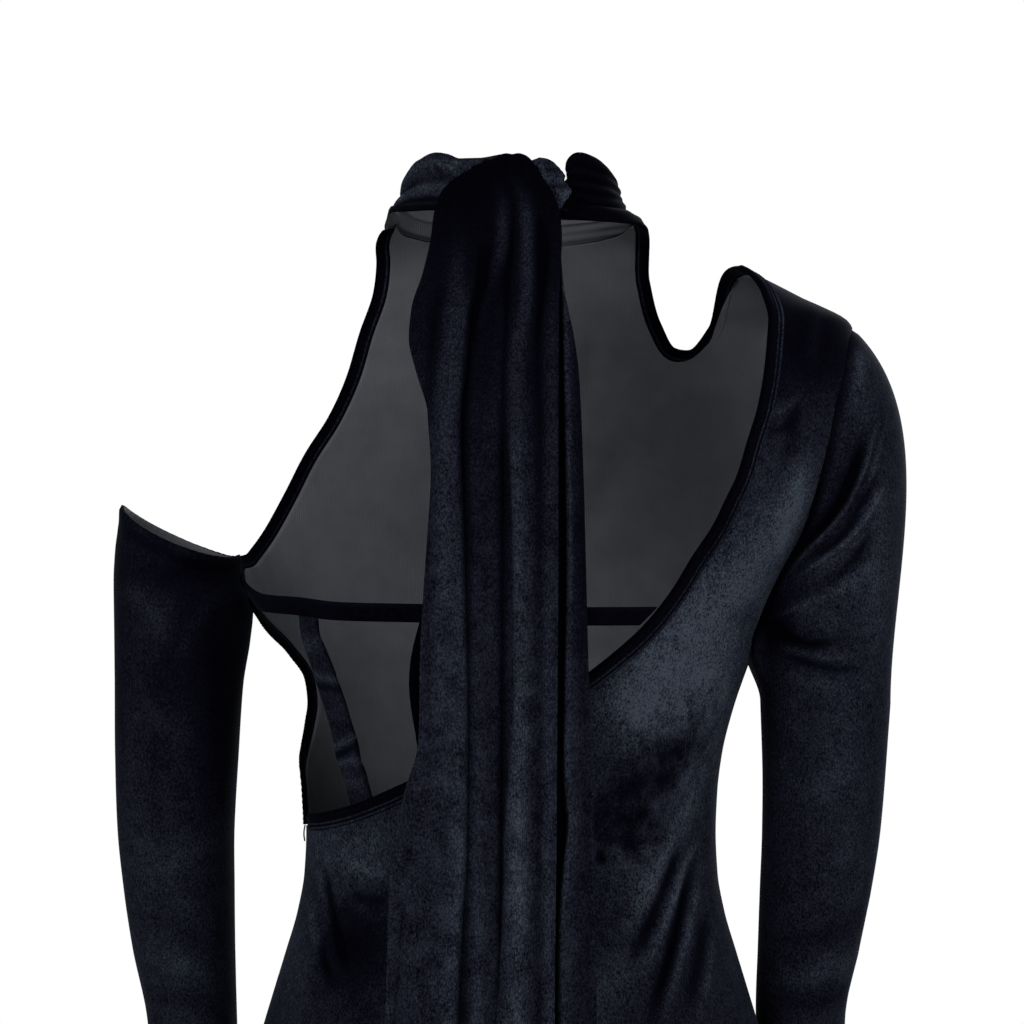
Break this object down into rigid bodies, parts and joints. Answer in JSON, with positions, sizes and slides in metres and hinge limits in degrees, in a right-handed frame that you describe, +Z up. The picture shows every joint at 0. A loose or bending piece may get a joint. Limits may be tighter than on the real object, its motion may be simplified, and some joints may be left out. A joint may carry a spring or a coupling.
{
  "type": "maxi dress",
  "caption": "Long hollow velvet dress with an open back, one set-in and one off-shoulder sleeve, a wrapped collar and hanging tie tails.",
  "frame": {"origin": "middle of the neck opening inside the collar, where the neck holds the dress up", "axes": "+Z up out of the neck opening, -Z down to the hem, +Y out of the open back, -Y out of the front, +X to the wearer's left"},
  "size_m": [0.5069, 0.3986, 1.4224],
  "materials": {
    "panel_velvet": "black stretch velvet with a short pile, worn over the body, blue-grey where the pile catches light",
    "sleeve_velvet": "black stretch velvet with a short pile, drawn lengthways on the arm",
    "binding_velvet": "black stretch velvet cut as narrow strips, folded and stitched twice",
    "collar_velvet": "black stretch velvet in soft gathered folds",
    "tail_velvet": "black stretch velvet hanging in long folds, with a smooth matt wrong side"
  },
  "bodies": {
    "root": {"back_panel": "panel_velvet", "front_panel": "panel_velvet", "sleeve_right_upper": "sleeve_velvet", "sleeve_right_lower": "sleeve_velvet", "sleeve_left": "sleeve_velvet", "binding_back": "binding_velvet", "binding_halter": "binding_velvet", "binding_side_cut": "binding_velvet", "binding_scoop": "binding_velvet", "back_band": "binding_velvet", "side_strap": "binding_velvet", "collar_left": "collar_velvet", "collar_right": "collar_velvet", "knot_crest": "tail_velvet", "knot_lobe": "tail_velvet", "tail_outer": "tail_velvet", "tail_inner": "tail_velvet"}
  },
  "joints": []
}
